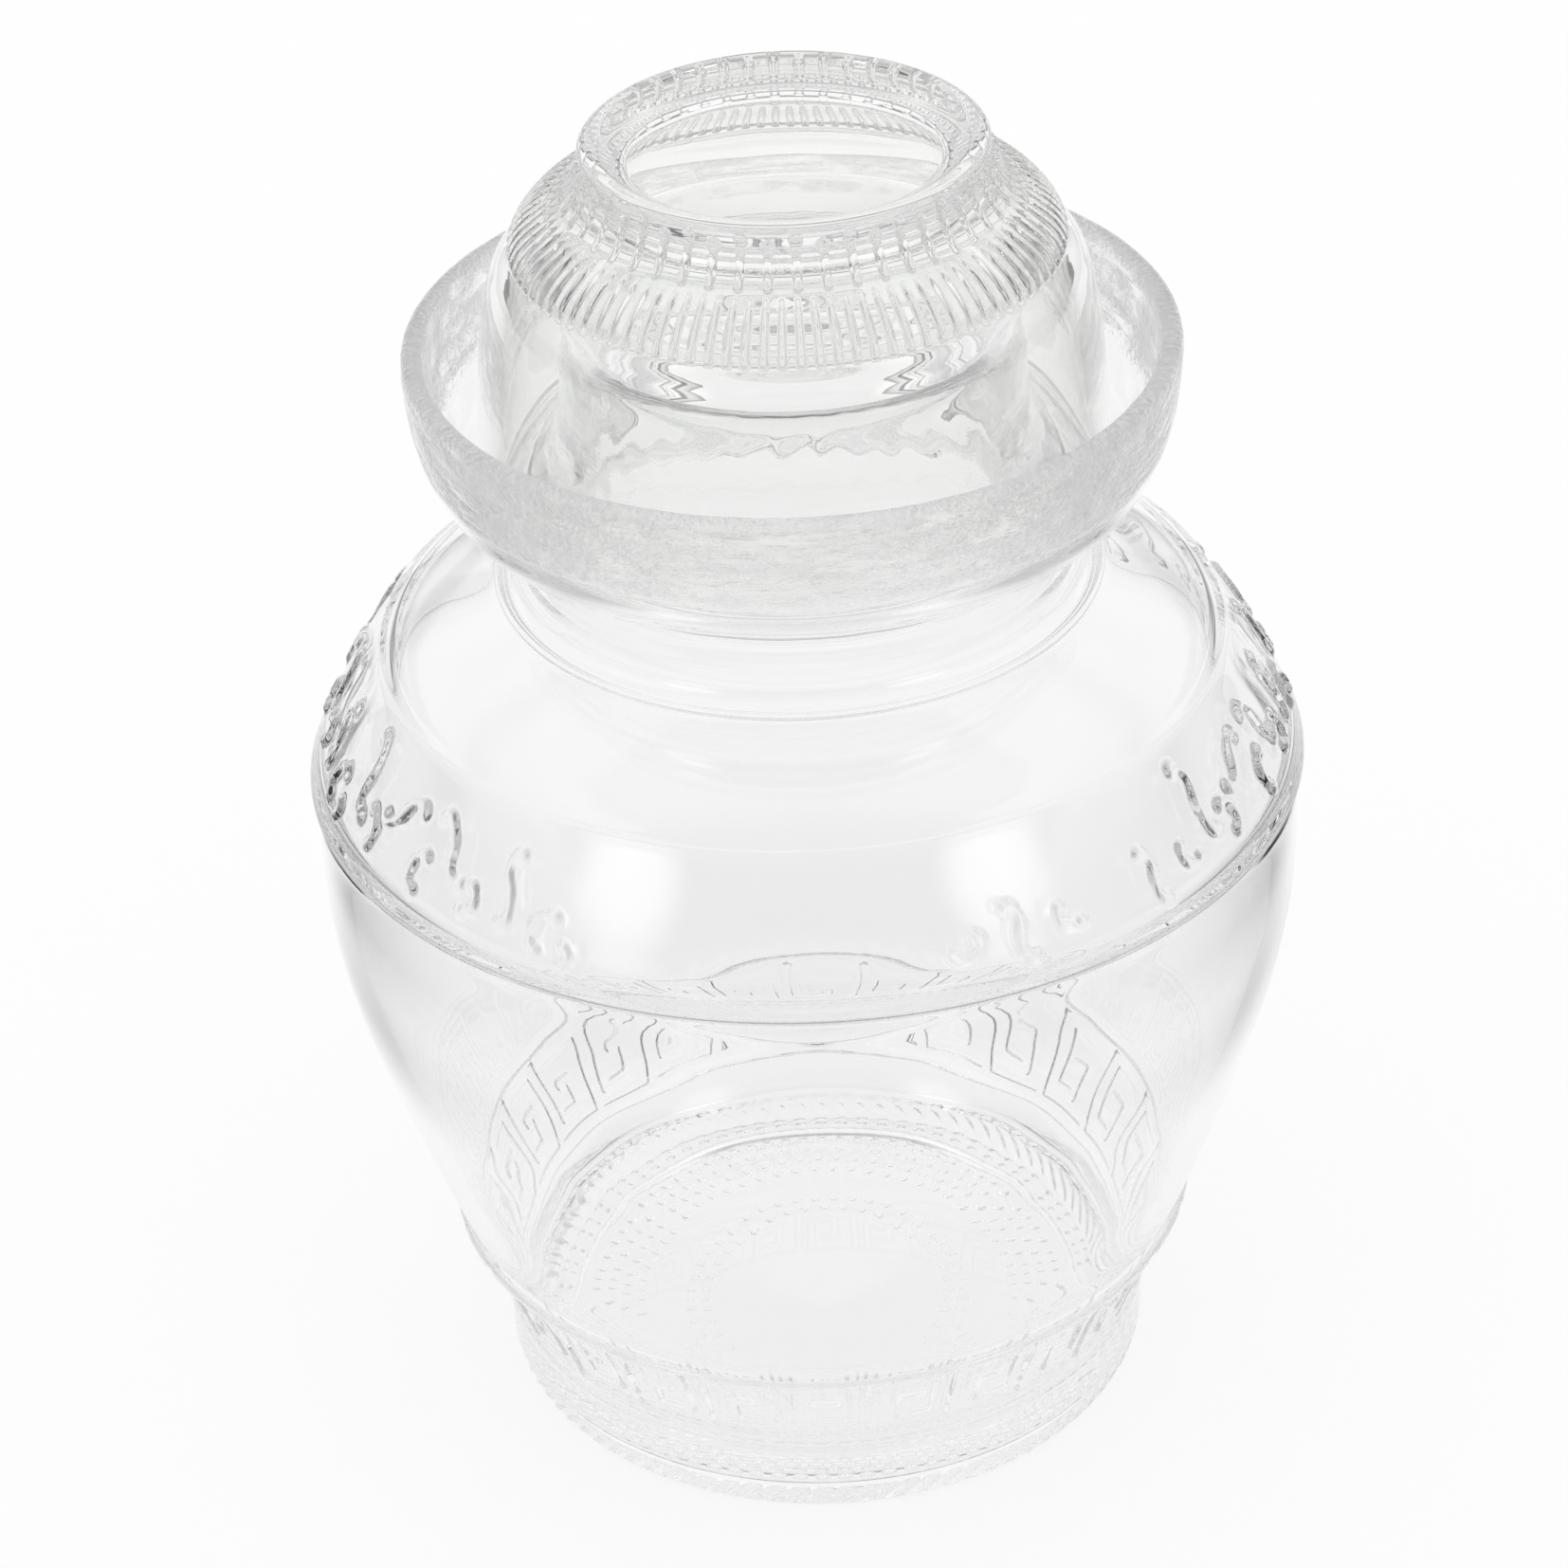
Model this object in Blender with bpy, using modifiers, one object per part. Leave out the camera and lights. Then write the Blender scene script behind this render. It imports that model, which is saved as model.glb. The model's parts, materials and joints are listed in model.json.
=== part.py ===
"""Glass pickling jar with a water-seal moat round its neck and a loose bowl-shaped lid.

Two pieces of pressed and blown glass. The jar has a waisted foot, a wide belly, a stepped
shoulder and a neck with the moat formed round it. The lid is a fluted bowl turned upside down:
its rim stands in the moat, and its foot ring is on top.

Every outline is a list of (radius, height) points. It is turned about Z by a Screw modifier.
"""

import math

import bmesh
import bpy
from mathutils import Vector
from mathutils.geometry import interpolate_bezier

# Jar heights, from the table up, in metres
FOOT_HEIGHT = 0.0186
KEY_BAND_HEIGHT = 0.0229
BELLY_HEIGHT = 0.1041
RELIEF_BAND_HEIGHT = 0.0285
SHOULDER_HEIGHT = 0.0139
LOWER_NECK_HEIGHT = 0.0115
MOAT_ROOT_HEIGHT = 0.0121
MOAT_DEPTH = 0.0269
NECK_RISE = 0.0058

# Jar radii and the steps between them
FOOT_RADIUS = 0.0682
FOOT_WAIST = 0.0007
BASE_INSET = 0.0037
BASE_RING_WIDTH = 0.0065
HEEL_HEIGHT = 0.0045
PUNT_STEP = 0.0012
PUNT_RISE = 0.0042
KEY_BAND_FLARE = 0.0090
BELLY_RADIUS = 0.1000
SHOULDER_INSET = 0.0156
NECK_RADIUS = 0.0450
LOWER_NECK_STEP = 0.0096
SEAT_FLARE = 0.0035

# Small steps and beads moulded on the jar
LEDGE_DEPTH = 0.0010
LEDGE_EDGE = 0.0004
KEY_BEAD_HEIGHT = 0.0012
KEY_BEAD_DEPTH = 0.0005
KEY_BAND_STEP = 0.0004
SHOULDER_STEP = 0.0004
SEAT_BEAD_WIDTH = 0.0020
SEAT_BEAD_HEIGHT = 0.0006
NECK_RING_DEPTH = 0.0005
NECK_RINGS = 2

# Glass thickness
BODY_WALL = 0.0042
NECK_WALL = 0.0040
MOAT_WALL = 0.0042
NECK_RIM_ROUNDING = 0.0013
MOAT_RIM_ROUNDING = 0.0011
BASE_THICKNESS = 0.0050
CAVITY_CORNER = 0.0130

# Fit of the lid in the moat
SEAT_CLEARANCE = 0.0003
NECK_FLARE = 0.0115
LID_SIDE_CLEARANCE = 0.0011
MOAT_FLOOR_MARGIN = 0.0010
WATER_GAP = 0.0093

# Lid
LID_HEIGHT = 0.0685
LID_WALL = 0.0044
LID_SHOULDER_INSET = 0.0090
FLUTE_RUN = 0.0092
FLUTE_DROP = 0.0094
BEAD_RUN = 0.0044
BEAD_DROP = 0.0059
RING_HEIGHT = 0.0061
RING_WIDTH = 0.0100
RING_EDGE = 0.0018
RING_UNDERCUT = 0.0006
RING_FLAT_WIDTH = 0.0016
RECESS_DEPTH = 0.0039
CEILING_THICKNESS = 0.0060
CEILING_CORNER = 0.0150
FLUTE_COUNT = 96
FLUTE_HEIGHT = 0.0009
BEAD_HEIGHT = 0.0009
BEAD_STAGGER = 0.0014

# Facets of the turned shapes
JAR_COLUMNS = 48
LID_COLUMNS = 48
RIM_STEPS = 4
MERGE_DISTANCE = 0.00001
SHARP_ANGLE_DEGREES = 40

# Outlines as shares of the named sizes that they follow, chosen by eye from the shape
# belly: (share of its height from the top, share of its widening from the key band)
BELLY_SHARES = ((0.0, 1.0), (0.14, 1.01), (0.29, 0.97), (0.44, 0.84), (0.58, 0.65), (0.79, 0.32), (1.0, 0.0))
# relief band: (share of its height from the top, share of its widening)
RELIEF_BAND_SHARES = ((0.0, 0.0), (0.33, 0.385), (0.68, 0.735), (1.0, 1.0))
# shoulder: (share of its height from the top, share of its widening)
SHOULDER_SHARES = ((0.0, 0.0), (0.21, 0.29), (0.55, 0.64), (1.0, 1.0))
# outside of the moat: (share of the way in to the lower neck, share of the way down)
MOAT_SHARES = (
    (0.0, 0.0),
    (0.012, 0.2),
    (0.067, 0.39),
    (0.172, 0.553),
    (0.316, 0.688),
    (0.502, 0.76),
    (0.694, 0.803),
    (0.847, 0.845),
    (0.952, 0.91),
    (1.0, 1.0),
)
MOAT_BOWL_POINTS = 5
# neck inside the moat: (share of the way down to the moat's floor, share of its flare)
NECK_SHARES = ((0.0, 0.0), (0.28, 0.02), (0.5, 0.09), (0.7, 0.26), (0.87, 0.54), (1.0, 1.0))
# mouth: (share of the way down to the lower neck, share of its widening)
MOUTH_SHARES = ((0.0, 0.0), (0.32, 0.03), (0.56, 0.17), (0.78, 0.55), (1.0, 1.0))
# seat flare at the foot of the lower neck: (share of the lower neck's height left, share of the flare)
SEAT_SHARES = ((0.25, 0.1), (0.1, 0.4), (0.0, 1.0))
# foot: (share of its height from the top, share of the waist that it draws in by)
FOOT_SHARES = ((0.03, -0.3), (0.3, 0.4), (0.7, 1.0))
# heel: (share of its height from the top, share of the way in to the base ring)
HEEL_SHARES = ((0.0, 0.0), (0.6, 0.35), (1.0, 1.0))
# skirt of the lid: (share of the way down from the flutes, share of the way out to the rim)
SKIRT_SHARES = (
    (0.0, 0.0),
    (0.022, 0.1),
    (0.056, 0.27),
    (0.1, 0.43),
    (0.156, 0.545),
    (0.3, 0.72),
    (0.51, 0.845),
    (0.76, 0.935),
    (1.0, 1.0),
)
# shoulder of the lid, where the flutes are: (share of the way down, share of the way out)
FLUTE_SHARES = ((0.0, 0.0), (0.21, 0.29), (0.49, 0.67), (0.77, 0.91), (1.0, 1.0))
FLUTE_RISE_SHARES = (0.0, 0.9, 1.0, 0.9, 0.0)
# cone below the lid's ring, where the beads end: (share of the way down, share of the way out)
BEAD_SHARES = ((0.32, 0.22), (0.62, 0.48), (0.86, 0.76))
# top of the ring: (share of the way out from the recess to the crest, share of the way up)
RING_TOP_SHARES = ((0.0, 0.0), (0.22, 0.1), (0.5, 0.4), (0.76, 0.77), (0.92, 0.96), (1.0, 1.0))
# inside of the ledge: (share of the way up the relief band or down the belly, as far as the next point)
LEDGE_INSIDE_SHARE = 0.2


# Outline helpers
def from_shares(top, bottom, shares):
    """Points from top to bottom, where each share is (way down, way across)."""
    step = bottom - top
    return [Vector((top.x + step.x * across, top.y + step.y * down)) for down, across in shares]


def inset(outline, distance):
    """The outline moved into the glass. It runs down the outer side, from top to bottom."""
    moved = []
    for index, point in enumerate(outline):
        before = outline[max(index - 1, 0)]
        after = outline[min(index + 1, len(outline) - 1)]
        way = (after - before).normalized()
        moved.append(point + Vector((way.y, -way.x)) * distance)
    return moved


def rounded_rim(inner, outer, end, rounding, upward):
    """The edge of a wall, from its inner side over its rounded end to its outer side."""
    half_width = (outer - inner) / 2
    points = []
    for step in range(RIM_STEPS + 1):
        angle = math.pi * step / RIM_STEPS
        back = rounding * (1 - math.sin(angle))
        height = end - back if upward else end + back
        points.append(Vector((inner + half_width * (1 - math.cos(angle)), height)))
    return points


# Heights of the jar, added up from the table
KEY_TOP = FOOT_HEIGHT + KEY_BAND_HEIGHT
LEDGE_TOP = KEY_TOP + BELLY_HEIGHT
SHOULDER_RING = LEDGE_TOP + RELIEF_BAND_HEIGHT
SEAT_TOP = SHOULDER_RING + SHOULDER_HEIGHT
LOWER_NECK_TOP = SEAT_TOP + LOWER_NECK_HEIGHT
MOAT_FLOOR = LOWER_NECK_TOP + MOAT_ROOT_HEIGHT
MOAT_TOP = MOAT_FLOOR + MOAT_DEPTH
NECK_TOP = MOAT_TOP + NECK_RISE
LID_REST = MOAT_FLOOR + SEAT_CLEARANCE

# Radii that follow each other
KEY_TOP_RADIUS = FOOT_RADIUS + KEY_BAND_FLARE
SHOULDER_RING_RADIUS = BELLY_RADIUS - SHOULDER_INSET
LOWER_NECK_RADIUS = NECK_RADIUS + LOWER_NECK_STEP
SEAT_RADIUS = LOWER_NECK_RADIUS + SEAT_FLARE
MOAT_FLOOR_INNER = NECK_RADIUS + NECK_FLARE
LID_RIM_RADIUS = MOAT_FLOOR_INNER + LID_SIDE_CLEARANCE + LID_WALL
MOAT_FLOOR_OUTER = LID_RIM_RADIUS + MOAT_FLOOR_MARGIN
MOAT_RADIUS = LID_RIM_RADIUS + WATER_GAP + MOAT_WALL
FLUTE_BOTTOM_RADIUS = LID_RIM_RADIUS - LID_SHOULDER_INSET
FLUTE_TOP_RADIUS = FLUTE_BOTTOM_RADIUS - FLUTE_RUN
RING_RADIUS = FLUTE_TOP_RADIUS - BEAD_RUN


# Jar
def shoulder_outline():
    """From the bead at the neck to the step, which stands proud of the relief band."""
    bead_edge = Vector((SEAT_RADIUS + SEAT_BEAD_WIDTH, SEAT_TOP - SEAT_BEAD_HEIGHT))
    return from_shares(bead_edge, Vector((SHOULDER_RING_RADIUS, SHOULDER_RING)), SHOULDER_SHARES)


def relief_band_outline():
    start = Vector((SHOULDER_RING_RADIUS, SHOULDER_RING - SHOULDER_STEP))
    return from_shares(start, Vector((BELLY_RADIUS, LEDGE_TOP)), RELIEF_BAND_SHARES)


def belly_outline():
    """From under the ledge to the top of the key band. Its shares count the widening from there."""
    narrow = KEY_TOP_RADIUS
    widening = BELLY_RADIUS - LEDGE_DEPTH - narrow
    top = LEDGE_TOP - LEDGE_EDGE - LEDGE_DEPTH
    fall = top - KEY_TOP
    return [Vector((narrow + widening * wide, top - fall * down)) for down, wide in BELLY_SHARES]


def foot_outline():
    """From the crease under the key band, down the foot and round the heel to the base ring."""
    base_radius = FOOT_RADIUS - BASE_INSET
    heel_radius = FOOT_RADIUS - FOOT_WAIST
    side_height = FOOT_HEIGHT - HEEL_HEIGHT
    side = [
        Vector((FOOT_RADIUS - FOOT_WAIST * drawn_in, FOOT_HEIGHT - side_height * down))
        for down, drawn_in in FOOT_SHARES
    ]
    heel = from_shares(Vector((heel_radius, HEEL_HEIGHT)), Vector((base_radius, 0)), HEEL_SHARES)
    punt_radius = base_radius - BASE_RING_WIDTH
    underside = [
        Vector((punt_radius, 0)),
        Vector((punt_radius - PUNT_STEP, PUNT_STEP)),
        Vector((punt_radius / 2, PUNT_RISE - PUNT_STEP / 2)),
        Vector((0, PUNT_RISE)),
    ]
    return side + heel + underside


def moat_outside():
    top = Vector((MOAT_RADIUS, MOAT_TOP - MOAT_RIM_ROUNDING))
    way = Vector((LOWER_NECK_RADIUS, LOWER_NECK_TOP)) - top
    return [Vector((top.x + way.x * across, top.y + way.y * down)) for across, down in MOAT_SHARES]


def lower_neck_outline():
    """Soft rings round the neck under the moat, then the flare to the seat bead."""
    rings = []
    ring_steps = 2 * NECK_RINGS
    ring_zone = LOWER_NECK_HEIGHT * (1 - SEAT_SHARES[0][0])
    for step in range(1, ring_steps):
        swell = NECK_RING_DEPTH * (step % 2)
        rings.append(Vector((LOWER_NECK_RADIUS + swell, LOWER_NECK_TOP - ring_zone * step / ring_steps)))
    flare = [
        Vector((LOWER_NECK_RADIUS + SEAT_FLARE * out, SEAT_TOP + LOWER_NECK_HEIGHT * left))
        for left, out in SEAT_SHARES
    ]
    return rings + flare


def cavity_outline():
    """The inside of the jar, from the middle of its floor up to the edge of the mouth."""
    floor = PUNT_RISE + BASE_THICKNESS
    band = relief_band_outline()
    belly = belly_outline()
    over_ledge = band[-1].lerp(band[-2], LEDGE_INSIDE_SHARE)
    under_ledge = belly[0].lerp(belly[1], LEDGE_INSIDE_SHARE)
    guide = [*shoulder_outline(), *band[1:-1], over_ledge, under_ledge, *belly[1:]]
    guide.append(Vector((FOOT_RADIUS, FOOT_HEIGHT)))
    wall = list(reversed(inset(guide, BODY_WALL)))
    flat_edge = Vector((wall[0].x - CAVITY_CORNER, floor))
    wall_way = (wall[1] - wall[0]).normalized()
    drop = wall[0].y - floor
    corner = interpolate_bezier(
        flat_edge,
        flat_edge + Vector((CAVITY_CORNER / 2, 0)),
        wall[0] - wall_way * drop / 2,
        wall[0],
        5,
    )
    throat_radius = LOWER_NECK_RADIUS - NECK_WALL
    mouth_edge = Vector((NECK_RADIUS - NECK_WALL, NECK_TOP - NECK_RIM_ROUNDING))
    mouth = from_shares(mouth_edge, Vector((throat_radius, LOWER_NECK_TOP)), MOUTH_SHARES)
    throat = [Vector((throat_radius, SEAT_TOP)), *reversed(mouth)]
    return [Vector((0, floor))] + [point.to_2d() for point in corner[:-1]] + wall + throat[:-1]


def moat_inside():
    """From the neck's outer edge down to the moat's floor, out across it and up its bowl."""
    neck_edge = Vector((NECK_RADIUS, NECK_TOP - NECK_RIM_ROUNDING))
    neck = from_shares(neck_edge, Vector((MOAT_FLOOR_INNER, MOAT_FLOOR)), NECK_SHARES)
    bowl = inset(moat_outside(), MOAT_WALL)[1:MOAT_BOWL_POINTS]
    return neck[1:] + [Vector((MOAT_FLOOR_OUTER, MOAT_FLOOR))] + list(reversed(bowl))


def jar_outline():
    """The whole section of the jar, from the middle of its floor round to the middle of its base."""
    seat_bead = [
        Vector((SEAT_RADIUS + SEAT_BEAD_WIDTH / 4, SEAT_TOP + SEAT_BEAD_HEIGHT / 2)),
        Vector((SEAT_RADIUS + SEAT_BEAD_WIDTH * 3 / 4, SEAT_TOP)),
    ]
    ledge = [Vector((BELLY_RADIUS - LEDGE_EDGE / 2, LEDGE_TOP - LEDGE_EDGE))]
    bead_slope = KEY_BAND_FLARE / KEY_BAND_HEIGHT
    key_bead = [
        Vector((KEY_TOP_RADIUS + KEY_BEAD_DEPTH, KEY_TOP - KEY_BEAD_HEIGHT / 3)),
        Vector((KEY_TOP_RADIUS + KEY_BEAD_DEPTH - bead_slope * KEY_BEAD_HEIGHT / 2, KEY_TOP - KEY_BEAD_HEIGHT)),
        Vector((KEY_TOP_RADIUS - bead_slope * KEY_BEAD_HEIGHT * 2, KEY_TOP - KEY_BEAD_HEIGHT * 4 / 3)),
    ]
    key_foot = [Vector((FOOT_RADIUS - KEY_BAND_STEP, FOOT_HEIGHT))]
    return (
        cavity_outline()
        + rounded_rim(NECK_RADIUS - NECK_WALL, NECK_RADIUS, NECK_TOP, NECK_RIM_ROUNDING, upward=True)
        + moat_inside()
        + rounded_rim(MOAT_RADIUS - MOAT_WALL, MOAT_RADIUS, MOAT_TOP, MOAT_RIM_ROUNDING, upward=True)
        + moat_outside()[1:]
        + lower_neck_outline()
        + seat_bead
        + shoulder_outline()
        + relief_band_outline()
        + ledge
        + belly_outline()
        + key_bead
        + key_foot
        + foot_outline()
    )


# Lid, measured from its rim
def flute_zone():
    bottom_height = LID_HEIGHT - RING_HEIGHT - BEAD_DROP - FLUTE_DROP
    top = Vector((FLUTE_TOP_RADIUS, bottom_height + FLUTE_DROP))
    return from_shares(top, Vector((FLUTE_BOTTOM_RADIUS, bottom_height)), FLUTE_SHARES)


def skirt_outline():
    return from_shares(flute_zone()[-1], Vector((LID_RIM_RADIUS, LID_WALL / 2)), SKIRT_SHARES)


def bead_zone():
    """The foot ring's side and the cone under it, where the beads stand."""
    side_radius = RING_RADIUS - RING_UNDERCUT
    side_top = LID_HEIGHT - RING_EDGE
    ridge = LID_HEIGHT - RING_HEIGHT
    side = [
        Vector((side_radius, side_top)),
        Vector((side_radius, side_top - BEAD_STAGGER)),
        Vector((side_radius, side_top - 2 * BEAD_STAGGER)),
        Vector((RING_RADIUS, ridge)),
    ]
    return side + from_shares(Vector((RING_RADIUS, ridge)), flute_zone()[0], BEAD_SHARES)


def ring_top_outline():
    """From the middle of the recess, up over the ring's flat crest to its outer edge."""
    recess = Vector((RING_RADIUS - RING_WIDTH, LID_HEIGHT - RECESS_DEPTH))
    flat_outer = RING_RADIUS - RING_EDGE
    crest = Vector((flat_outer - RING_FLAT_WIDTH, LID_HEIGHT))
    step = crest - recess
    slope = [Vector((recess.x + step.x * out, recess.y + step.y * up)) for out, up in RING_TOP_SHARES]
    return [
        Vector((0, recess.y)),
        *slope,
        Vector((flat_outer, LID_HEIGHT)),
        Vector((RING_RADIUS - RING_EDGE / 4, LID_HEIGHT - RING_EDGE / 3)),
        Vector((RING_RADIUS, LID_HEIGHT - RING_EDGE * 3 / 4)),
    ]


def lid_outline():
    """The whole section of the lid, from the middle of its top round to the middle of its ceiling."""
    skirt = skirt_outline()
    flutes = flute_zone()
    guide = [flutes[0], flutes[2], *skirt[2::2]]
    inside = list(reversed(inset(guide, LID_WALL)))[1:]
    ceiling = LID_HEIGHT - RECESS_DEPTH - CEILING_THICKNESS
    corner = interpolate_bezier(
        inside[-1],
        inside[-1] + (inside[-1] - inside[-2]).normalized() * CEILING_CORNER / 2,
        Vector((inside[-1].x - CEILING_CORNER / 3, ceiling)),
        Vector((inside[-1].x - CEILING_CORNER, ceiling)),
        4,
    )
    rim = list(reversed(rounded_rim(LID_RIM_RADIUS - LID_WALL, LID_RIM_RADIUS, 0, LID_WALL / 2, upward=False)))
    return (
        ring_top_outline()
        + bead_zone()
        + flutes
        + skirt[1:-1]
        + rim
        + inside
        + [point.to_2d() for point in corner[1:]]
        + [Vector((0, ceiling))]
    )


def zone_row(vert, zones):
    """Which row of the ribbed zones' outline a point of the mesh is on, or None."""
    radius = math.hypot(vert.co.x, vert.co.y)
    for row, point in enumerate(zones):
        level = abs(vert.co.z - point.y) < MERGE_DISTANCE
        if level and abs(radius - point.x) < LID_WALL / 2:
            return row
    return None


def rib_rise(row, column, first_flute):
    """How far a point stands out. A flute is two columns wide, and a bead stands on every other flute."""
    if row >= first_flute:
        return FLUTE_HEIGHT * FLUTE_RISE_SHARES[row - first_flute] * (column % 2)
    top_row = 1 if column % 8 == 1 else 2
    return BEAD_HEIGHT if column % 4 == 1 and top_row <= row < first_flute - 1 else 0.0


def raise_ribs(mesh):
    """Divides the two ribbed zones into finer columns, then lifts the beads and the flutes out."""
    zones = bead_zone() + flute_zone()
    first_flute = len(bead_zone())
    columns = 2 * FLUTE_COUNT
    solid = bmesh.new()
    solid.from_mesh(mesh)
    rows = {vert: zone_row(vert, zones) for vert in solid.verts}
    rings = [
        edge
        for edge in solid.edges
        if rows[edge.verts[0]] is not None and rows[edge.verts[0]] == rows[edge.verts[1]]
    ]
    bmesh.ops.subdivide_edges(solid, edges=rings, cuts=columns // LID_COLUMNS - 1, use_grid_fill=True)
    for vert in solid.verts:
        row = zone_row(vert, zones)
        if row is None:
            continue
        before = zones[max(row - 1, 0)]
        after = zones[min(row + 1, len(zones) - 1)]
        way = (after - before).normalized()
        angle = math.atan2(vert.co.y, vert.co.x)
        column = round(angle * columns / math.tau) % columns
        place = zones[row] + Vector((-way.y, way.x)) * rib_rise(row, column, first_flute)
        vert.co = (math.cos(angle) * place.x, math.sin(angle) * place.x, place.y)
    solid.to_mesh(mesh)
    solid.free()


# Blender objects
def clear_scene():
    for old in list(bpy.data.objects):
        bpy.data.objects.remove(old)


def clear_glass(name, colour, roughness):
    material = bpy.data.materials.new(name)
    material.use_nodes = True
    shader = material.node_tree.nodes["Principled BSDF"]
    shader.inputs["Base Color"].default_value = (*colour, 1.0)
    shader.inputs["Roughness"].default_value = roughness
    shader.inputs["Metallic"].default_value = 0.0
    shader.inputs["Transmission Weight"].default_value = 1.0
    shader.inputs["IOR"].default_value = 1.5
    return material


def turned(name, outline, columns, collection):
    """An object that turns the outline about Z."""
    mesh = bpy.data.meshes.new(name)
    points = [(point.x, 0, point.y) for point in outline]
    mesh.from_pydata(points, [(index, index + 1) for index in range(len(points) - 1)], [])
    piece = bpy.data.objects.new(name, mesh)
    collection.objects.link(piece)
    screw = piece.modifiers.new("turn", "SCREW")
    screw.axis = "Z"
    screw.angle = math.tau
    screw.steps = columns
    screw.render_steps = columns
    screw.use_merge_vertices = True
    screw.merge_threshold = MERGE_DISTANCE
    screw.use_smooth_shade = True
    return piece


def make_mesh(piece):
    """Turns the piece's modifiers into plain mesh."""
    graph = bpy.context.evaluated_depsgraph_get()
    mesh = bpy.data.meshes.new_from_object(piece.evaluated_get(graph))
    piece.modifiers.clear()
    piece.data = mesh
    return mesh


def shade(mesh):
    mesh.shade_smooth()
    mesh.set_sharp_from_angle(angle=math.radians(SHARP_ANGLE_DEGREES))


def build_jar(collection):
    jar = turned("jar", jar_outline(), JAR_COLUMNS, collection)
    shade(make_mesh(jar))
    jar.data.materials.append(clear_glass("jar_glass", (0.95, 0.96, 0.955), 0.02))
    return jar


def build_lid(collection):
    """The lid's origin is on the jar's axis, where its rim rests, so that it lifts along Z."""
    lid = turned("lid", lid_outline(), LID_COLUMNS, collection)
    mesh = make_mesh(lid)
    raise_ribs(mesh)
    shade(mesh)
    lid.data.materials.append(clear_glass("lid_glass", (0.93, 0.945, 0.93), 0.02))
    lid.location = (0, 0, LID_REST)
    return lid


def main():
    clear_scene()
    parts = bpy.data.collections.new("glass_pickling_jar")
    bpy.context.scene.collection.children.link(parts)
    jar = build_jar(parts)
    lid = build_lid(parts)
    lid.parent = jar


main()
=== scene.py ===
import json
import math

import bpy
import numpy as np
from mathutils import Matrix, Vector

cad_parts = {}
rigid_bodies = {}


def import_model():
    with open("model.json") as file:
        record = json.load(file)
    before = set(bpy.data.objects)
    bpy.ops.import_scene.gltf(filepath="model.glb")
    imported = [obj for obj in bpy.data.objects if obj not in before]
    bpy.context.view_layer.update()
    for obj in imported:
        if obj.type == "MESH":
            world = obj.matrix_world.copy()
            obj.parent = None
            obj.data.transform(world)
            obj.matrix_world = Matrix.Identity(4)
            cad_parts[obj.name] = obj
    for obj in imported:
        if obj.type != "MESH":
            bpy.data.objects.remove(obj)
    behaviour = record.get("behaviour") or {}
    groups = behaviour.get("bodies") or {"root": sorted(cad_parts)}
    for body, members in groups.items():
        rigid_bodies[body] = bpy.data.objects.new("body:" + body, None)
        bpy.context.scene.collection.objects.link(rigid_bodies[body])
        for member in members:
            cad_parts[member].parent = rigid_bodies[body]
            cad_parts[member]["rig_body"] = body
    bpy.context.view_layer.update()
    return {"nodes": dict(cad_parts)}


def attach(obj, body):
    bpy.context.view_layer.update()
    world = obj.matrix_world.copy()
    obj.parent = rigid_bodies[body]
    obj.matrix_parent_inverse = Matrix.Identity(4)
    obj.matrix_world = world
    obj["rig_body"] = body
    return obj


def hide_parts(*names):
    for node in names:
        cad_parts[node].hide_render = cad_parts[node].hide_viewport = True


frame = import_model()

# Heights and radii that the looks share with the CAD part, in metres from the table and from the axis
FOOT_TOP = 0.0186
KEY_TOP = 0.0415
LEDGE_TOP = 0.1456
SHOULDER_RING = 0.1741
SEAT_TOP = 0.1880
LOWER_NECK_TOP = 0.1995
MOAT_FLOOR = 0.2116
MOAT_TOP = 0.2385
NECK_TOP = 0.2443
LID_TOP = 0.2804
RIDGE = 0.2743
FLUTE_TOP = 0.2684
FLUTE_BOTTOM = 0.2590
RING_RADIUS = 0.0394

# How finely the outlines are drawn and turned
HAIR = 2e-6
LINE_STEP = 0.0001
PLAIN_STEP = 0.0014
LEAST_PLAIN_STEP = 0.00035
PLAIN_STEP_SHARE = 0.25
JAR_FINE_COLUMNS = 1040
LID_FINE_COLUMNS = 1536
COARSE_SHARE = 4

# How far the outlines' corners are rounded off
SOFTEN_SHARE = 0.16
SOFTEN_GROWTH = 0.8
SOFTEN_MOST = 0.0026
SOFTEN_ROUNDS = 900

# Walls of even thickness, and the smoothed outside of the neck
WALL_BLUR = 0.002
BODY_WALL = 0.0042
BODY_WALL_TOP = SEAT_TOP - 0.001
BODY_WALL_FADE = 0.012
LID_WALL = 0.0044
LID_WALL_BLUR = WALL_BLUR * 2 / 3
LID_WALL_FADE = 0.003
NECK_BLUR = 0.0013
NECK_FOOT = SEAT_TOP + 0.002
NECK_HEAD = MOAT_FLOOR - 0.003
MOAT_WALL_RADIUS = 0.062
TABLE_GAP = 0.00005

# How far a surface faces out from the axis, or up, to count as one that does
OUTWARD = 0.2
FOOT_OUTWARD = 0.1
ROPE_OUTWARD = 0.25
LID_OUTWARD = 0.05
UPWARD = 0.3
DOWNWARD = -0.5

# The distance between rings where there is relief
KEY_STEP = 0.00045
FOOT_STEP = 0.0002
BAND_STEP = 0.00055
LEDGE_STEP = 0.00012
SEAT_STEP = 0.00012
MOAT_STEP = 0.0006
BASE_STEP = 0.00045
LID_STEP = 0.00035
CLOSE_MARGIN = 0.001
FINE_MARGIN = 0.0005

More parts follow.
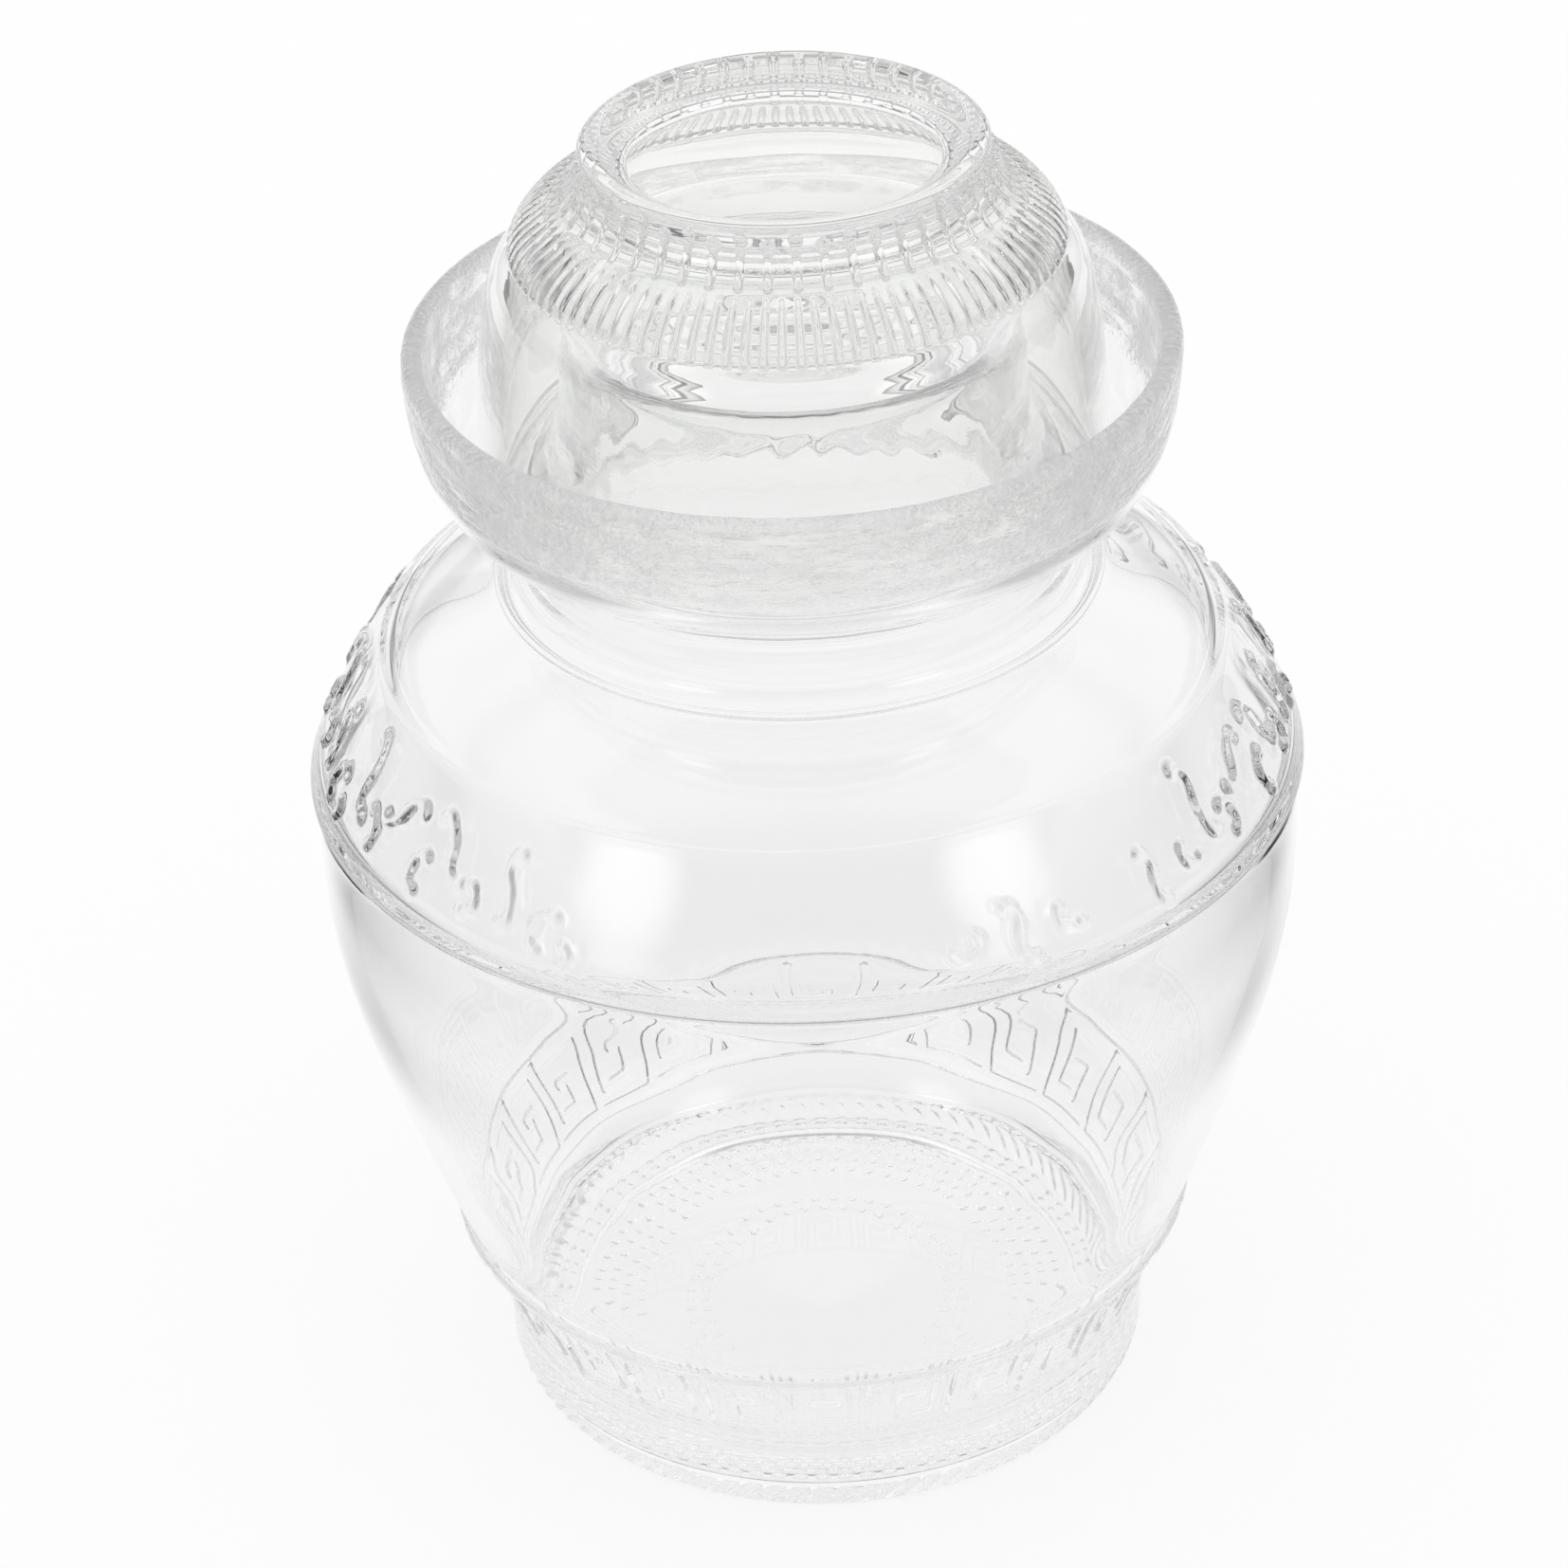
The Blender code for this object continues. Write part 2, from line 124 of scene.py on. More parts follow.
# Meander band
KEY_UNITS = 26
KEY_PHASE_DEGREES = 6.6
KEY_STROKE = 0.0030
KEY_FLAT_SHARE = 0.45
KEY_INSET = KEY_STROKE * 0.75
KEY_RISE = 0.0008
KEY_END = KEY_TOP - 0.0008
KEY_FADE = 0.0004
KEY_PATH = ((0.0, 0.0), (0.0, 1.0), (0.78, 1.0), (0.78, 0.27), (0.36, 0.27), (0.36, 0.62), (0.56, 0.62))

# Lid
LID_RELIEF = (FLUTE_BOTTOM - 0.003, LID_TOP - 0.0012)
LID_FINE = (FLUTE_BOTTOM - 0.002, LID_TOP - 0.0015)
LID_RELIEF_RADIUS = 0.034
LID_SIDE_RADIUS = RING_RADIUS - 0.002
BEADS = 48
BEAD_PHASE_DEGREES = 2.2
BEAD_RADIUS = 0.0009
PIN_RADIUS = 0.0012
BEAD_TOP = 0.2780
BEAD_STAGGER = 0.0019
BEAD_FOOT = 0.2695
RIBS = 96
RIB_RISE = 0.0010
RIB_HALF_TOP = 0.0005
RIB_HALF_BOTTOM = 0.0009
RIB_GROWTH = 0.003
RIB_POWER = 0.6
RIDGE_RISE = 0.0004
RIDGE_WIDTH = 0.0006

# Ledge
LEDGE_REACH = 0.0012
LEDGE_EDGE = 0.1453
LEDGE_EDGE_HEIGHT = 0.0003
LEDGE_LIP = 0.0004
LEDGE_LIP_REACH = 0.0007
LEDGE_UNDERCUT = 0.0009
LEDGE_UNDERCUT_REACH = 0.0022
LEDGE_UNDERCUT_END = LEDGE_TOP - 0.012

# Relief band
BAND_MIDDLE_RADIUS = 0.093
BAND_BOTTOM = LEDGE_TOP + 0.0008
BAND_TOP = SHOULDER_RING - 0.0015
BAND_FADE = 0.001
SCROLL_WIDTH = 0.0021
SCROLL_SWELL = 0.25
SCROLL_RISE = 0.0011
SCROLL_RISE_POWER = 1.5
SCROLL_CURL_POWER = 2.5
SCROLL_STEPS = 48

# A kind of scroll is its length, its bend and its curl, and whether its two ends curl opposite ways
SCROLL_KINDS = {"s": (0.017, 90, 560, True), "c": (0.013, 160, 420, False)}

# Groups of scrolls: degrees round, share of the band's height, tilt in degrees, kind, side and size
SPRAY = (
    (-19, 0.60, 75, "s", 1, 1.0),
    (-14, 0.38, 110, "c", 1, 0.7),
    (-9, 0.60, 60, "s", -1, 0.85),
    (-4, 0.36, 80, "c", -1, 0.75),
    (1, 0.58, 100, "s", 1, 0.9),
    (6, 0.34, 70, "c", 1, 0.6),
    (11, 0.52, 120, "s", -1, 0.85),
    (16, 0.36, 65, "c", -1, 0.8),
    (20, 0.24, 90, "c", 1, 0.35),
)
SPRIG = ((-6, 0.30, 30, "c", 1, 0.6), (0, 0.36, 75, "s", 1, 0.7), (6, 0.32, 140, "c", -1, 0.6))
SCROLL_GROUPS = ((-92, SPRAY), (-49, SPRAY), (73, SPRAY), (115, SPRAY), (24, SPRIG), (43, SPRIG[1:]))

# Seat bead at the bottom of the neck
SEAT_REACH = 0.002
SEAT_RADII = (0.0565, 0.0620)
SEAT_GROOVE_RADIUS = 0.0584
SEAT_GROOVE = 0.0008
SEAT_GROOVE_REACH = 0.0005
SEAT_EDGE = 0.0601
SEAT_EDGE_WIDTH = 0.00025
SEAT_RISE = 0.0009

# Foot
FOOT_GROOVE = 0.0007
FOOT_GROOVE_REACH = 0.0005
FOOT_GROOVE_ZONE = 0.0015
ROPE_STRANDS = 90
ROPE_PITCH = 0.006
ROPE_DEPTH = 0.0005
ROPE_BAND = (0.0002, 0.0058)
ROPE_FADE = 0.001

# Base
BASE_TOP = 0.006
BASE_RADIUS = 0.022
BASE_FINE_TOP = 0.0065
BASE_FINE_RADIUS = 0.024
DENTS = 80
DENT_RINGS = (0.0598, 0.0634)
DENT_RADIUS = 0.0014
DENT_DEPTH = 0.0004
DENT_POWER = 1.5
DOT_RADIUS = 0.0011
DOT_RISE = 0.00045
DOT_POWER = 0.75
DOT_RINGS = ((0.0265, 40), (0.0300, 46), (0.0410, 62), (0.0445, 67), (0.0480, 72), (0.0515, 78))

# Unevenness of plain glass: a ripple is its seed, most turns round, least pitch and number of waves
RIPPLE_CREST = 1.5
RIPPLE_LEAST_SHARE = 0.3
RIPPLE_RISE = 0.00004
MOAT_RIPPLE_RISE = 0.00003
MOAT_RIPPLE = (3, 60, 0.0022, 40)
MOAT_CLOSE_RADIUS = 0.060
MOAT_FINE_BOTTOM = MOAT_FLOOR + 0.002
NECK_RIPPLE = (7, 60, 0.009, 24)
NECK_RIPPLE_RADIUS = 0.057
NECK_RIPPLE_TOP = NECK_TOP - 0.002
NECK_RIPPLE_FADE = 0.006
BODY_RIPPLE = (11, 9, 0.07, 14)
BODY_RIPPLE_BOTTOM = 0.012
BODY_RIPPLE_FADE = 0.02
LID_WALL_RIPPLE = (21, 8, 0.05, 14)
LID_WALL_BAND = (0.214, 0.262)
LID_WALL_RIPPLE_FADE = 0.006
CEILING_RIPPLE = (23, 5, 0.03, 14)
CEILING_RIPPLE_FADE = 0.012

# Glass
GLASS_IOR = 1.5
JAR_TINT = (0.985, 0.988, 0.986)
LID_TINT = (0.97, 0.975, 0.965)

# Grain of the moat's wall, and faintly of the neck
GRAIN_BOTTOM = 0.2195
GRAIN_FINE_BOTTOM = GRAIN_BOTTOM - 0.002
GRAIN_HEIGHTS = (GRAIN_BOTTOM - 0.001, GRAIN_BOTTOM + 0.002)
GRAIN_WALL_RADII = (0.0630, 0.0645)
GRAIN_NECK_RADII = (0.0570, 0.0400)
GRAIN_NECK_SIDES = (0.028, 0.040)
GRAIN_RIM_HEIGHTS = (MOAT_TOP - 0.002, MOAT_TOP - 0.0005)
GRAIN_PER_METRE = 700
GRAIN_DETAIL = 4.0
GRAIN_STRETCH = 2.2
GRAIN_DEPTH = 0.0010
NECK_GRAIN_SHARE = 0.07
RIM_GRAIN_SHARE = 0.8
PATCHES_PER_METRE = 90
PATCH_DETAIL = 2.0
PATCH_STRETCH = 4.0
PATCH_EDGES = (0.3, 0.65)

# Lamps: azimuth from the front round to the right and elevation, in degrees
LAMPS = ((-47, 27), (47, 27))
LAMP_SIZE = 0.4
LAMP_DISTANCE = 1.3
LAMP_POWER = 0.5
GLOW_EDGES = (math.cos(math.radians(15)), 1.0)
GLOW_STRENGTH = 1.9

# Floor
FLOOR_RADIUS = 3.0
FLOOR_CORNERS = 96
FLOOR_WHITE = 0.95
FLOOR_GLOW_SHARE = 0.86

# The studio that only the glass sees. A scratch program fitted the stops of pool, behind and room, the
# squeeze and the lean to grey levels of the photo. They were then rounded, and some were changed.
# The pool and behind stops are the floor's painted glow: a painted pool of light round the jar, with darker
# rings, that only glass sees.
POOL_SQUEEZE = (1.46, 0.94, 1.0)
POOL_RADIUS = 1.2
POOL_STOPS = ((0.0, 0.96), (0.15, 0.96), (0.2, 0.6), (0.25, 0.68), (0.333, 0.08), (0.5, 0.45), (1.0, 0.42))
BEHIND_STOPS = ((0.0, 0.0), (0.68, 0.0), (0.78, 0.22), (0.88, 0.9), (1.0, 1.0))
ROOM_LEAN = 70
ROOM_LOW = -0.3
ROOM_STOPS = ((0.0, 0.05), (0.37, 0.2), (0.44, 0.3), (0.51, 0.7), (0.62, 0.85), (0.73, 1.0), (1.0, 1.0))
BAND_STOPS = ((0.0, 1.0), (0.12, 1.0), (0.16, 0.25), (0.25, 0.25), (0.3, 1.0), (1.0, 1.0))
SHADE_LIFT = 48
SHADE_EDGES = (math.cos(math.radians(45)), math.cos(math.radians(20)))
SHADE_SHARE = 0.6

# Camera in metres, degrees and millimetres, fitted to the ellipses of the rings in the photo
CAMERA_DISTANCE = 0.92793
CAMERA_HEIGHT = 0.72359
CAMERA_YAW = -0.3005
CAMERA_PITCH = 32.3731
CAMERA_ROLL = -2.3213
CAMERA_LENS = 124.07
CAMERA_SENSOR = 36
CAMERA_CLIP = 0.05

# How often light is followed through the glass
MOST_BOUNCES = 64
GLASS_BOUNCES = 48


# Outlines
def outline_of(node):
    """The node's outline in the half plane y = 0, from its upper to its lower point on the axis."""
    mesh = frame["nodes"][node].data
    spots = {
        vert.index: (round(vert.co.x, 5), round(vert.co.z, 5))
        for vert in mesh.vertices
        if abs(vert.co.y) < HAIR and vert.co.x > -HAIR
    }
    beside = {}
    for edge in mesh.edges:
        a, b = (spots.get(index) for index in edge.vertices)
        if a and b and a != b:
            beside.setdefault(a, set()).add(b)
            beside.setdefault(b, set()).add(a)
    ends = [spot for spot in beside if len(beside[spot]) == 1]
    line = [max(ends, key=lambda spot: spot[1])]
    while len(line) == 1 or line[-1] not in ends:
        line.append(next(spot for spot in beside[line[-1]] if spot not in line))
    return np.array(line)


def curved(points):
    """A close-set line through the points, level where it meets the axis."""
    mirror = np.array([-1.0, 1.0])
    points = np.vstack([points[1] * mirror, points, points[-2] * mirror])
    pieces = []
    for p0, p1, p2, p3 in zip(points, points[1:], points[2:], points[3:]):
        t1 = math.dist(p0, p1) ** 0.5
        t2 = t1 + math.dist(p1, p2) ** 0.5
        t3 = t2 + math.dist(p2, p3) ** 0.5
        count = max(2, math.ceil(math.dist(p1, p2) / LINE_STEP))
        t = np.linspace(t1, t2, count, endpoint=False)[:, None]
        a1 = p0 + (p1 - p0) * t / t1
        a2 = p1 + (p2 - p1) * (t - t1) / (t2 - t1)
        a3 = p2 + (p3 - p2) * (t - t2) / (t3 - t2)
        b1 = a1 + (a2 - a1) * t / t2
        b2 = a2 + (a3 - a2) * (t - t1) / (t3 - t1)
        pieces.append(b1 + (b2 - b1) * (t - t1) / (t2 - t1))
    return np.vstack([*pieces, points[-2:-1]])


def lengths_along(line):
    return np.concatenate([[0], np.cumsum(np.linalg.norm(np.diff(line, axis=0), axis=1))])


def softened(line, corners):
    """Rounds the line, more where the outline's own points are far apart."""
    along = lengths_along(line)
    steps = np.linalg.norm(np.diff(corners, axis=0), axis=1)
    short = np.minimum(np.append(steps, np.inf), np.insert(steps, 0, np.inf))
    nearest = [np.argmin(np.linalg.norm(line - corner, axis=1)) for corner in corners]
    reach = np.min(short[None] + SOFTEN_GROWTH * np.abs(along[:, None] - along[nearest][None]), axis=1)
    width = np.minimum(reach * SOFTEN_SHARE, SOFTEN_MOST)
    weight = np.minimum(2 * (width / LINE_STEP) ** 2 / SOFTEN_ROUNDS, 1)[1:-1, None]
    line = line.copy()
    for _ in range(SOFTEN_ROUNDS):
        line[1:-1] += weight * ((line[:-2] + line[2:]) / 2 - line[1:-1])
        line[0, 1], line[-1, 1] = line[1, 1], line[-2, 1]
    return line, reach


def outward(line):
    """The way out of the glass at each point of the line."""
    way = np.gradient(line, axis=0)
    way /= np.linalg.norm(way, axis=1)[:, None]
    return np.stack([-way[:, 1], way[:, 0]], axis=1)


def blurred(values, width):
    """Values one line step apart, blurred by a bell curve that is cut off at three widths."""
    reach = round(3 * width / LINE_STEP)
    kernel = np.exp(-((np.arange(-reach, reach + 1) * LINE_STEP / width) ** 2) / 2)
    return np.convolve(np.pad(values, reach, "edge"), kernel / kernel.sum(), "valid")


def even_wall(line, inner, outer, wall, low, high, edge, blur):
    """Sets the inner side of a wall at an even distance from its outer side, between two heights."""
    moved = (line - wall * outward(line))[outer]
    moved = moved[np.argsort(moved[:, 1])]
    heights = np.arange(low, high, LINE_STEP)
    radius = blurred(np.interp(heights, moved[:, 1], moved[:, 0]), blur)
    share = window(line[inner, 1], low, high, edge)
    line[inner, 0] += share * (np.interp(line[inner, 1], heights, radius) - line[inner, 0])


def calmed(line, where, low, high, width):
    """Blurs a stretch of the line between two heights, less over a quarter of it at each end."""
    smooth = np.stack([blurred(line[:, 0], width), blurred(line[:, 1], width)], axis=1)
    share = where * window(line[:, 1], low, high, (high - low) / 4)
    line += share[:, None] * (smooth - line)


def even_jar(line):
    """Smooths the neck, makes the body's wall even, and keeps the base just off the table."""
    z = line[:, 1]
    rim = np.argmax(z)
    after = np.arange(len(line)) > rim
    calmed(line, after & (line[:, 0] < MOAT_WALL_RADIUS), NECK_FOOT, NECK_HEAD, NECK_BLUR)
    body = z < BODY_WALL_TOP
    even_wall(
        line, ~after & body, after & body, BODY_WALL, FOOT_TOP, BODY_WALL_TOP, BODY_WALL_FADE, WALL_BLUR
    )
    line[:, 1] = np.maximum(z, TABLE_GAP)


def even_lid(line):
    """Makes the wall of the lid's skirt even."""
    z = line[:, 1]
    rim = np.argmin(z)
    after = np.arange(len(line)) > rim
    skirt = z < FLUTE_TOP
    top = FLUTE_TOP - LID_WALL
    even_wall(line, after & skirt, ~after & skirt, LID_WALL, z[rim], top, LID_WALL_FADE, LID_WALL_BLUR)


class Outline:
    """The rings of a turned piece: radius, height, length along the outline and the way out of the glass."""

    def __init__(self, node, spacing, even_walls):
        corners = outline_of(node)
        line, reach = softened(curved(corners), corners)
        even_walls(line)
        along = lengths_along(line)
        out = outward(line)
        plain = np.clip(reach * PLAIN_STEP_SHARE, LEAST_PLAIN_STEP, PLAIN_STEP)
        step = spacing(line[:, 0], line[:, 1], out[:, 0], plain)
        count = np.concatenate([[0], np.cumsum(np.diff(along) / step[1:])])
        at = np.interp(np.linspace(0, count[-1], round(count[-1]) + 1), count, along)
        self.s = at
        self.r = np.interp(at, along, line[:, 0])
        self.z = np.interp(at, along, line[:, 1])
        self.nr = np.interp(at, along, out[:, 0])
        self.nz = np.interp(at, along, out[:, 1])
        self.r[0] = self.r[-1] = 0.0

    def ring(self, index):
        return self.r[index], self.z[index], self.s[index], self.nr[index], self.nz[index]


def ring_mesh(name, rings, fine, fine_columns, rise):
    """A closed mesh over the rings. Fine rings have all the columns, and the others a quarter of them."""
    points, starts, counts = [], [], []
    total = 0
    last = len(rings.r) - 1
    for index in range(last + 1):
        count = fine_columns if fine[index] else fine_columns // COARSE_SHARE
        if index in (0, last):
            count = 1
        r, z, _, nr, nz = rings.ring(index)
        angle = np.arange(count) * math.tau / count
        lift = np.zeros(count) if count == 1 else rise(index, angle)
        radius = r + nr * lift
        height = z + nz * lift
        points.append(np.stack([radius * np.cos(angle), radius * np.sin(angle), height], axis=1))
        starts.append(total)
        counts.append(count)
        total += count
    faces = []
    for index in range(last):
        faces.extend(strip(starts[index], counts[index], starts[index + 1], counts[index + 1]))
    mesh = bpy.data.meshes.new(name)
    mesh.from_pydata(np.vstack(points).tolist(), [], faces)
    mesh.shade_smooth()
    return mesh


def strip(first, first_count, second, second_count):
    """The faces between two rings of points, where one may have a quarter of the points or only one."""
    few, many = sorted((first_count, second_count))
    here = np.arange(many)
    beside = (here + 1) % many
    if few == many:
        return np.stack([first + here, second + here, second + beside, first + beside], axis=1).tolist()
    if first_count == 1:
        return np.stack([np.full(many, first), second + here, second + beside], axis=1).tolist()
    if second_count == 1:
        return np.stack([first + here, np.full(many, second), first + beside], axis=1).tolist()
    faces = []
    for j in range(few):
        k = (j + 1) % few
        parts = [(j * COARSE_SHARE + step) % many for step in range(COARSE_SHARE + 1)]
        if first_count < second_count:
            faces.append([first + j, *[second + part for part in parts], first + k])
        else:
            faces.append([*[first + part for part in reversed(parts)], second + j, second + k])
    return faces


# Surface forms
def between(value, low, high):
    return (value > low) & (value < high)


def ease(value, low, high):
    """A smooth step of the value from 0 at low to 1 at high."""
    share = np.clip((value - low) / (high - low), 0, 1)
    return share * share * (3 - 2 * share)


def window(value, low, high, edge):
    """1 between low and high, with a smooth edge inside each."""
    return ease(value, low, low + edge) * (1 - ease(value, high - edge, high))


def ripple(angle, along, seed, turns, pitch, count):
    """Smooth unevenness between about -1 and 1 that closes on itself round the piece."""
    source = np.random.default_rng(seed)
    total = 0.0
    for _ in range(count):
        around = round(source.uniform(RIPPLE_LEAST_SHARE, 1.0) * turns)
        up = source.uniform(-1, 1) * math.tau / pitch
        total = total + np.cos(around * angle + up * along + source.uniform(0, math.tau))
    return total * (2 / count) ** 0.5 / RIPPLE_CREST


def front_angle(angle):
    """Degrees round from the front of the jar, to the right."""
    return (np.degrees(angle) + 90 + 180) % 360 - 180


def across_nearest(angle, radius, count):
    """How far each angle is, round the circle, from the nearest of its equal places."""
    return ((angle * count / math.tau + 0.5) % 1 - 0.5) * math.tau * radius / count


def distance_to_path(x, y, path):
    nearest = np.full(np.broadcast(x, y).shape, np.inf)
    for (x0, y0), (x1, y1) in zip(path, path[1:]):
        dx, dy = x1 - x0, y1 - y0
        share = np.clip(((x - x0) * dx + (y - y0) * dy) / (dx * dx + dy * dy), 0, 1)
        nearest = np.minimum(nearest, np.hypot(x - x0 - share * dx, y - y0 - share * dy))
    return nearest


def meander_rise(angle, height, radius):
    """Raised key pattern, with a raised line along its bottom."""
    pitch = math.tau * radius / KEY_UNITS
    lowest = FOOT_TOP + KEY_INSET
    tall = KEY_TOP - KEY_INSET - lowest
    share = (np.radians(front_angle(angle) - KEY_PHASE_DEGREES) * KEY_UNITS / math.tau) % 1.0
    path = [(px * pitch, lowest + py * tall) for px, py in KEY_PATH]
    near = np.full(len(angle), np.inf)
    for turn in (-1, 0, 1):
        near = np.minimum(near, distance_to_path((share + turn) * pitch, height, path))
    near = np.minimum(near, abs(height - lowest))
    half = KEY_STROKE / 2
    return KEY_RISE * (1 - ease(near, half * KEY_FLAT_SHARE, half))


def scroll(length, bend, curl, opposite):
    """A line that curls up at both ends, the same way round or opposite ways."""
    share = np.linspace(-1, 1, SCROLL_STEPS + 1)
    turn = bend + curl * np.abs(share) ** SCROLL_CURL_POWER
    if opposite:
        turn = turn * np.sign(share)
    step = length / SCROLL_STEPS
    heading = np.cumsum(turn) * step
    heading -= heading[SCROLL_STEPS // 2]
    x = np.cumsum(np.cos(heading)) * step
    y = np.cumsum(np.sin(heading)) * step
    return np.stack([x - x.mean(), y - y.mean()], axis=1), share


def scroll_lines():
    """The scrolls' lines on the band laid flat, x round it and y up it in metres, and their widths."""
    shapes = {kind: scroll(*values) for kind, values in SCROLL_KINDS.items()}
    places = [(centre + turn, *rest) for centre, group in SCROLL_GROUPS for turn, *rest in group]
    lines = []
    for turn, share, tilt, kind, side, size in places:
        shape, along = shapes[kind]
        spin = math.radians(tilt)
        x = shape[:, 0] * size
        y = shape[:, 1] * size * side
        middle = math.radians(turn) * BAND_MIDDLE_RADIUS
        line_x = middle + x * math.cos(spin) - y * math.sin(spin)
        line_y = LEDGE_TOP + share * (SHOULDER_RING - LEDGE_TOP) + x * math.sin(spin) + y * math.cos(spin)
        swell = 1 - SCROLL_SWELL + SCROLL_SWELL * np.cos(math.tau * along)
        lines.append((line_x, line_y, SCROLL_WIDTH * size**0.5 * swell))
    return lines


def scroll_rise(lines, angle, height):
    """Raised strokes with round tops along the scrolls' lines."""
    x = np.radians(front_angle(angle)) * BAND_MIDDLE_RADIUS
    half_round = math.pi * BAND_MIDDLE_RADIUS
    all_round = math.tau * BAND_MIDDLE_RADIUS
    best = np.zeros(len(angle))
    for line_x, line_y, widths in lines:
        if line_y.min() - SCROLL_WIDTH > height or line_y.max() + SCROLL_WIDTH < height:
            continue
        gap = (x[:, None] - line_x[None] + half_round) % all_round - half_round
        share = np.hypot(gap, height - line_y[None]) / widths[None]
        near = share.min(axis=1)
        best = np.maximum(best, SCROLL_RISE * np.clip(1 - near**2, 0, 1) ** SCROLL_RISE_POWER)
    return best


def ledge_rise(height):
    """A thin lip along the ledge, and the step under it, which runs out down the belly."""
    above = height - LEDGE_EDGE
    lip = LEDGE_LIP * math.exp(-max(above, 0) / LEDGE_LIP_REACH)
    undercut = LEDGE_UNDERCUT * math.exp(min(above, 0) / LEDGE_UNDERCUT_REACH)
    return lip - (lip + undercut) * ease(-above, 0, LEDGE_EDGE_HEIGHT)


def seat_rise(radius):
    """A groove around the bottom of the neck, and the low step outside it."""
    groove = SEAT_GROOVE * math.exp(-(((radius - SEAT_GROOVE_RADIUS) / SEAT_GROOVE_REACH) ** 2))
    step = ease(radius, SEAT_GROOVE_RADIUS, SEAT_EDGE - SEAT_EDGE_WIDTH)
    step = step * ease(-radius, -SEAT_EDGE, SEAT_EDGE_WIDTH - SEAT_EDGE)
    return SEAT_RISE * step - groove


def foot_rise(height):
    """A groove between the key band and the foot."""
    return -FOOT_GROOVE * math.exp(-(((height - FOOT_TOP) / FOOT_GROOVE_REACH) ** 2))


def rope_rise(angle, height, along):
    """Slanting grooves round the bottom edge, which leave strands like a rope's."""
    lean = math.tau * (angle / math.tau * ROPE_STRANDS + along / ROPE_PITCH)
    return -ROPE_DEPTH * (0.5 - 0.5 * np.cos(lean)) * window(height, *ROPE_BAND, ROPE_FADE)


def dot_rise(angle, radius):
    """Rings of small domes under the base."""
    best = np.zeros(len(angle))
    for ring, count in DOT_RINGS:
        if abs(radius - ring) < DOT_RADIUS:
            across = across_nearest(angle, ring, count)
            share = np.clip(1 - (across**2 + (radius - ring) ** 2) / DOT_RADIUS**2, 0, 1)
            best = np.maximum(best, DOT_RISE * share**DOT_POWER)
    return best


def dent_rise(angle, radius):
    """Two rows of shallow dents in the ring that the jar stands on."""
    across = across_nearest(angle, radius, DENTS)
    near = min(abs(radius - ring) for ring in DENT_RINGS)
    return -DENT_DEPTH * np.clip(1 - (across**2 + near**2) / DENT_RADIUS**2, 0, 1) ** DENT_POWER


def bead_rise(angle, radius, along, tops, foot):
    """Upright beads, each with a round head, where every second one starts lower."""
    share = (front_angle(angle) - BEAD_PHASE_DEGREES) * BEADS / 360
    number = np.round(share).astype(int)
    across = (share - number) * math.tau * radius / BEADS
    top = np.where(number % 2 == 0, *tops)
    beyond = np.maximum(top - along, 0) + np.maximum(along - foot, 0)
    bead = BEAD_RADIUS**2 - np.hypot(across, beyond) ** 2
    head = PIN_RADIUS**2 - np.hypot(across, along - top) ** 2
    return np.sqrt(np.clip(np.maximum(bead, head), 0, None))


def ridge_rise(along, middle):
    """A thin ridge at the foot of the lid's ring."""
    return RIDGE_RISE * max(0, 1 - ((along - middle) / RIDGE_WIDTH) ** 2)


def rib_rise(angle, radius, along, top, bottom):
    """Upright ribs, which leave the flutes between them. They widen downward and end round."""
    share = angle * RIBS / math.tau
    across = (share - np.floor(share) - 0.5) * math.tau * radius / RIBS
    half = np.interp(along, (top, bottom), (RIB_HALF_TOP, RIB_HALF_BOTTOM))
    away = np.hypot(across, max(along - bottom + half / 2, 0)) / half
    return RIB_RISE * ease(along, top, top + RIB_GROWTH) * np.clip(1 - away**2, 0, 1) ** RIB_POWER


# Jar
def jar_spacing(r, z, nr, plain):
    """The distance from each ring to the next, which is short where there is relief."""
    step = plain.copy()
    step[(abs(z - SEAT_TOP) < SEAT_REACH) & between(r, *SEAT_RADII)] = SEAT_STEP
    step[(nr > OUTWARD) & between(z, FOOT_TOP - CLOSE_MARGIN, KEY_TOP + CLOSE_MARGIN)] = KEY_STEP
    step[(nr > FOOT_OUTWARD) & (abs(z - FOOT_TOP) < FOOT_GROOVE_ZONE)] = FOOT_STEP
    step[(nr > OUTWARD) & between(z, LEDGE_TOP + CLOSE_MARGIN, SHOULDER_RING - CLOSE_MARGIN)] = BAND_STEP
    step[(nr > OUTWARD) & (abs(z - LEDGE_EDGE) < LEDGE_REACH)] = LEDGE_STEP
    step[(r > MOAT_CLOSE_RADIUS) & (z > MOAT_FLOOR + CLOSE_MARGIN)] = MOAT_STEP
    step[(r > BASE_RADIUS) & (z < BASE_TOP)] = BASE_STEP
    return step


